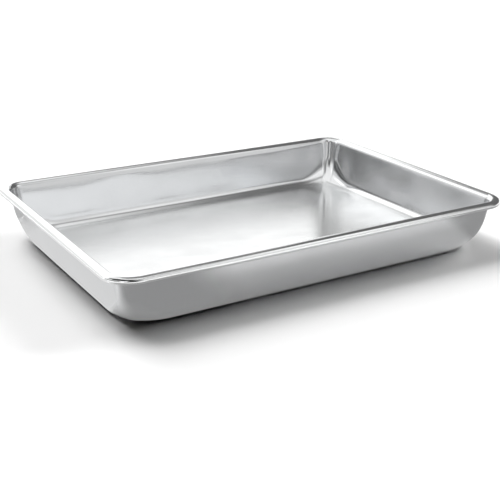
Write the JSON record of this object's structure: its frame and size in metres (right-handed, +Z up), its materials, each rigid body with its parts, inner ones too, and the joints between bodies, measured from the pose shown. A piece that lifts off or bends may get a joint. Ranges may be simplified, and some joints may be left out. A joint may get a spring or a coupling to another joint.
{
  "type": "baking tray",
  "caption": "Deep rectangular baking tray pressed from sheet metal, with leaning walls, scooped inner corners and a rim rolled round a stiffening wire.",
  "frame": {"origin": "on the surface that the tray stands on, under the middle of its floor", "axes": "+X along the long sides, +Y along the short sides towards the back, +Z up out of the open top"},
  "size_m": [0.36, 0.25, 0.044],
  "materials": {
    "pressed_aluminium": "satin, as rolled and drawn, uncoated",
    "galvanised_wire": "dull zinc"
  },
  "bodies": {
    "root": {"pan": "pressed_aluminium", "rim_wire": "galvanised_wire"}
  },
  "joints": []
}
